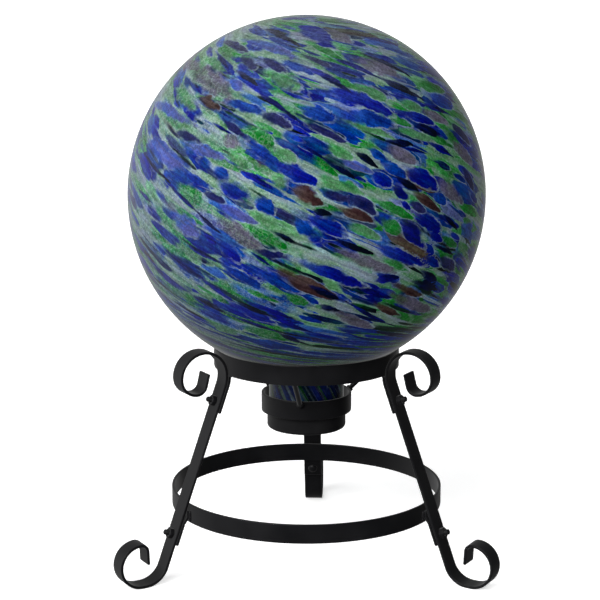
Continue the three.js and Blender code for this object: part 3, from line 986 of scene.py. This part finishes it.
def set_vectors(mesh, name, values):
    """Stores one vector for each vertex under a name that the material reads."""
    attribute = mesh.attributes.new(name, "FLOAT_VECTOR", "POINT")
    attribute.data.foreach_set("vector", np.ascontiguousarray(values, np.float32).ravel())


def store_seen_flecks(mesh, vertices):
    """Stores each point's place in the nearest seen fleck of each family."""
    points = vertices - GLOBE_MIDDLE
    for family, (_, _, flecks) in SEEN_FLECKS.items():
        _, fullness = seen_shape(flecks)
        places = np.array([place_in_fleck(points, fleck, fullness) for fleck in flecks])
        nearest = places[:, 2].argmax(axis=0)
        set_vectors(mesh, f"seen_{family}", places[nearest, :, np.arange(len(points))])


def add_globe(material):
    glass = turned(globe_profile(), GLOBE_SIDES)
    mesh = add_piece("glass_globe", "glass", [glass], material, "swirled_glass").data
    vertices = np.zeros(len(mesh.vertices) * 3)
    mesh.vertices.foreach_get("co", vertices)
    vertices = vertices.reshape(-1, 3)
    for name in TWIST:
        set_vectors(mesh, name, swirl_coordinates(vertices, TWIST[name], DRAW_OUT[name]))
    store_seen_flecks(mesh, vertices)


# Stand


def add_cap(material):
    low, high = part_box("neck_cap")
    outer = (high.x - low.x) / 2
    inner = outer - CAP_WALL
    rim_z = high.z - CAP_RIM_EDGE
    profile = [
        (CAP_POLE, low.z),
        *arc(outer - CAP_EDGE_RADIUS, low.z + CAP_EDGE_RADIUS, CAP_EDGE_RADIUS, -90, 0, CAP_EDGE_STEPS),
        *arc(outer - CAP_RIM_EDGE, rim_z, CAP_RIM_EDGE, 0, 90, CORNER_STEPS),
        *arc(inner + CAP_RIM_EDGE, rim_z, CAP_RIM_EDGE, 90, 180, CORNER_STEPS),
        (inner, low.z + CAP_WALL),
        (CAP_POLE, low.z + CAP_WALL),
    ]
    cap = turned(profile, RING_SIDES)
    keep_flats_flat(add_piece("neck_cap", "plastic", [cap], material, "black_plastic"))


def add_ring(node, material):
    low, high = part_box(node)
    outer = (high.x - low.x) / 2
    rise = UPPER_RING_RISE if node == "upper_ring" else 0
    section = rounded_rectangle(BAR_THICKNESS, high.z - low.z + rise, BAR_EDGE)
    section = section + (outer - BAR_THICKNESS / 2, (low.z + high.z + rise) / 2)
    add_bar(node, [turned_loop(section, RING_SIDES)], material)


def leg_radius_at(z):
    """Radius of the straight part of a leg's middle at a height."""
    bend_r = WAIST_R + LEG_TOP_CURL * (1 - math.cos(lean))
    bend_z = WAIST_Z - LEG_TOP_CURL * math.sin(lean)
    return bend_r + (bend_z - z) * math.tan(lean)


def add_leg(side, material):
    waist = (WAIST_R, WAIST_Z)
    bends = LEG_TOP_CURL * math.sin(lean) + LEG_FOOT_BEND * (1 - math.sin(lean))
    drop = WAIST_Z - BAR_THICKNESS / 2 - bends
    upper = walk(waist, 90, TOP_SCROLL)
    down = (
        ("arc", LEG_TOP_CURL, LEG_LEAN),
        ("line", drop / math.cos(lean)),
        ("arc", LEG_FOOT_BEND, 90 - LEG_LEAN),
    )
    lower = walk(waist, -90, down + FOOT_SCROLL)
    add_bar(f"leg_{side}", [bent_bar(upper[::-1] + lower[1:], LEG_AZIMUTHS[side])], material)


def add_upper_tab(side, material):
    azimuth = LEG_AZIMUTHS[side]
    bend = LEG_TOP_CURL + TAB_OFFSET
    drop = WAIST_Z - bend * math.sin(lean) - UPPER_TAB_END_Z
    top = (WAIST_R - TAB_OFFSET, WAIST_Z)
    path = walk(top, -90, (("arc", bend, LEG_LEAN), ("line", drop / math.cos(lean))))
    half = BAR_WIDTH / 2
    inside = top[0] - BAR_THICKNESS / 2
    weld_ends = swung([(inside, -half, WAIST_Z), (inside, half, WAIST_Z)], azimuth)
    bead = weld_bead(*weld_ends, WELD_RADIUS, azimuth)
    add_bar(f"upper_tab_{side}", [bent_bar(path, azimuth), bead], material)


def add_lower_tab(side, material):
    azimuth = LEG_AZIMUTHS[side]
    slant = math.radians(LOWER_TAB_SLANT)
    start = (LOWER_RING_RADIUS + GAP + BAR_THICKNESS / 2, LOWER_TAB_TOP_Z)
    weld = walk(start, -90, (("line", LOWER_TAB_WELD), ("arc", LOWER_TAB_BEND, LOWER_TAB_SLANT)))
    bend_r, bend_z = weld[-1]

    def leg_line(z):
        return leg_radius_at(z) - TAB_OFFSET / math.cos(lean)

    closing = math.sin(slant) - math.tan(lean) * math.cos(slant)
    meet_z = bend_z - (leg_line(bend_z) - bend_r) / closing * math.cos(slant)
    path = weld + [(leg_line(meet_z), meet_z), (leg_line(LOWER_TAB_END_Z), LOWER_TAB_END_Z)]
    parts = [bent_bar(path, azimuth)]
    weld_end_z = LOWER_TAB_TOP_Z - LOWER_WELD_LENGTH
    for y in (-BAR_WIDTH / 2, BAR_WIDTH / 2):
        ends = [(LOWER_RING_RADIUS, y, LOWER_TAB_TOP_Z), (LOWER_RING_RADIUS, y, weld_end_z)]
        parts.append(weld_bead(*swung(ends, azimuth), WELD_RADIUS, azimuth + y))
    add_bar(f"lower_tab_{side}", parts, material)


def add_strut(side, material):
    azimuth = STRUT_AZIMUTHS[side]
    top = np.array([UPPER_RING_RADIUS - BAR_THICKNESS - STRUT_CLEARANCE, 0, STRUT_TOP_Z])
    foot = np.array([NECK_RING_RADIUS + STRUT_CLEARANCE, 0, STRUT_FOOT_Z])
    line = swung(np.linspace(foot, top, STRUT_RINGS), azimuth)
    parts = [tube(line, np.full(STRUT_RINGS, STRUT_RADIUS), STRUT_SIDES)]
    for end, other in ((foot, top), (top, foot)):
        along = (other - end) / np.linalg.norm(other - end)
        ends = swung([end, end + along * STRUT_WELD_LENGTH], azimuth)
        parts.append(weld_bead(*ends, STRUT_WELD_RADIUS, azimuth + end[2]))
    add_piece(f"neck_strut_{side}", "rod", parts, material, "black_steel")


def bolt_rings(profile, angles, level, side):
    """Rings around a bolt from pairs of radius and distance outwards from the leg's middle."""
    points = np.array([circle(radius, angles, outwards) for radius, outwards in profile])
    across, sideways, outwards = points[..., 0], points[..., 1], points[..., 2]
    z = BOLT_HEIGHTS[level]
    r = leg_radius_at(z) + outwards * math.cos(lean) - across * math.sin(lean)
    height = z + outwards * math.sin(lean) + across * math.cos(lean)
    return swung(np.stack([r, sideways, height], axis=-1), LEG_AZIMUTHS[side])


def add_bolt(level, side, material):
    seat = -(BAR_THICKNESS / 2 + TAB_OFFSET)
    tail_end = BAR_THICKNESS / 2 + GAP + NUT_HEIGHT + BOLT_TAIL
    angles = turn_angles(ROUND_SIDES)
    profile = [
        (BOLT_HEAD_RADIUS * math.sin(a), seat - BOLT_HEAD_HEIGHT * math.cos(a))
        for a in np.radians(np.linspace(*HEAD_DOME, DOME_RINGS))
    ]
    profile += [(BOLT_HEAD_RADIUS, seat - HEAD_RIM), (BOLT_HEAD_RADIUS, seat), (BOLT_RADIUS, seat)]
    for outwards in np.linspace(seat + THREAD_START, tail_end, THREAD_RINGS):
        phase = (outwards / THREAD_PITCH - angles / (2 * math.pi)) % 1
        thread = BOLT_RADIUS - THREAD_DEPTH * np.abs(2 * phase - 1)
        profile.append((np.minimum(thread, BOLT_RADIUS - TAIL_CHAMFER + (tail_end - outwards)), outwards))
    rings = bolt_rings(profile, angles, level, side)
    add_piece(f"{level}_bolt_{side}", "bolt", [loft(rings)], material, "black_steel")


def add_nut(level, side, material):
    base = BAR_THICKNESS / 2 + GAP / 2
    top = base + NUT_HEIGHT
    angles = turn_angles(NUT_SIDES)
    apothem = NUT_ACROSS_FLATS / 2
    hexagon = apothem / np.cos((angles + math.pi / 6) % (math.pi / 3) - math.pi / 6)
    bevel = NUT_EDGE + (hexagon - apothem) * math.tan(math.radians(NUT_CHAMFER))
    face = apothem * NUT_FACE
    profile = [
        (NUT_HOLE, base),
        (face, base),
        (hexagon, base + bevel),
        (hexagon, top - bevel),
        (face, top),
        (NUT_HOLE + NUT_HOLE_CHAMFER, top),
        (NUT_HOLE, top - NUT_HOLE_CHAMFER),
    ]
    nut = loft(bolt_rings(profile, angles, level, side), loop=True)
    keep_flats_flat(add_piece(f"{level}_nut_{side}", "nut", [nut], material, "black_steel"))


# Studio, in metres

FLOOR_MIDDLE = 0.01
FLOOR_REACH = 6.0
COVE_RADIUS = 3.0
COVE_STEPS = 16
BACKDROP_HEIGHT = 9.0
FLOOR_SIDES = 96
FLOOR_CLOUD = (0.6, 2)
FLOOR_GREYS = ((0.3, (0.9, 0.9, 0.9, 1)), (0.7, (0.93, 0.93, 0.93, 1)))
FLOOR_ROUGHNESS = 0.9
FLOOR_GLOW = 0.6
WHITE = (1, 1, 1, 1)
LIGHT_SIDE = (-0.66, 0.71, -0.24)
LIGHT_FROM = -0.3
ROOM_DARK = 0.02
ROOM_LIGHT = 0.5
ROOM_RISE = (0, 0.9, 1, 0.4)
LAMPS = {  # the way each shines, its strength and its spread in degrees
    "key": ((0.48, 0.68, -0.55), 4.4, 60),
    "fill": ((-0.66, 0.62, 0.42), 0.9, 60),
    "back": ((0.05, -0.99, -0.12), 2.4, 50),
    "sheen": ((0.42, 0.7, -0.58), 1.4, 40),
}
STAND_LAMP = "sheen"  # lights the stand alone, and only this one shows in reflections


def pale_floor():
    graph = Graph(bpy.data.materials.new("pale_floor"))
    colour = graph.ramp(graph.noise(graph.place(), *FLOOR_CLOUD), FLOOR_GREYS)
    return graph.surface(
        {
            "Base Color": colour.outputs["Color"],
            "Roughness": FLOOR_ROUGHNESS,
            "Specular IOR Level": 0.0,
            "Emission Color": WHITE,
            "Emission Strength": FLOOR_GLOW,
        }
    )


def add_floor():
    """A pale floor that rises far out into a backdrop, seen by the camera only."""
    rim = arc(FLOOR_REACH, COVE_RADIUS, COVE_RADIUS, -90, 0, COVE_STEPS)
    profile = [(FLOOR_MIDDLE, 0), *rim, (FLOOR_REACH + COVE_RADIUS, BACKDROP_HEIGHT)]
    vertices, faces = turned(profile, FLOOR_SIDES)
    floor = add_object("floor", vertices, faces[:-1], pale_floor())
    floor.visible_diffuse = False
    floor.visible_glossy = False
    floor.visible_shadow = False


def add_lamp(name):
    """Soft light from far away."""
    direction, strength, spread = LAMPS[name]
    light = bpy.data.lights.new(name, "SUN")
    light.energy = strength
    light.angle = math.radians(spread)
    lamp = bpy.data.objects.new(name, light)
    lamp.rotation_euler = Vector(direction).to_track_quat("-Z", "Y").to_euler()
    lamp.visible_glossy = name == STAND_LAMP
    scene.collection.objects.link(lamp)
    if name == STAND_LAMP:
        lamp.light_linking.receiver_collection = stand


def add_studio():
    """Lamps in a room that is light on the left and behind, and dimmer above and below."""
    world = bpy.data.worlds.new("studio")
    scene.world = world
    graph = Graph(world)
    direction = graph.node("TexCoord").outputs["Generated"]
    towards = graph.dot(direction, LIGHT_SIDE)
    inputs = {"Value": towards, "From Min": LIGHT_FROM, "To Min": ROOM_DARK, "To Max": ROOM_LIGHT}
    light = graph.node("MapRange", inputs).outputs["Result"]
    rise = graph.math("ABSOLUTE", graph.parts(direction)[2])
    strength = graph.product(light, graph.ease(rise, *ROOM_RISE))
    background = graph.node("Background", {"Color": WHITE, "Strength": strength})
    output = graph.node("OutputWorld")
    graph.feed(output.inputs["Surface"], background.outputs["Background"])
    for name in LAMPS:
        add_lamp(name)
    scene.view_settings.view_transform = "Standard"


def add_camera():
    camera = bpy.data.cameras.new("camera")
    camera.sensor_width = SENSOR_WIDTH
    camera.lens = FOCAL_PIXELS / PICTURE_SIZE * SENSOR_WIDTH
    eye = bpy.data.objects.new("camera", camera)
    eye.location = (AXIS_X + CAMERA_ASIDE, AXIS_Y - CAMERA_DISTANCE, GLOBE_Z + CAMERA_RISE)
    eye.rotation_euler = (math.radians(90 + CAMERA_PITCH), 0, 0)
    scene.collection.objects.link(eye)
    scene.camera = eye


steel = black_finish("black_powder_coat", **POWDER_COAT)
add_camera()
add_studio()
add_floor()
add_globe(swirled_glass())
add_cap(black_finish("black_moulded_plastic", **MOULDED_PLASTIC))
for ring_node in ("upper_ring", "neck_ring", "lower_ring"):
    add_ring(ring_node, steel)
for strut_side in STRUT_AZIMUTHS:
    add_strut(strut_side, steel)
for leg_side in LEG_AZIMUTHS:
    add_leg(leg_side, steel)
    add_upper_tab(leg_side, steel)
    add_lower_tab(leg_side, steel)
    for bolt_level in BOLT_HEIGHTS:
        add_bolt(bolt_level, leg_side, steel)
        add_nut(bolt_level, leg_side, steel)
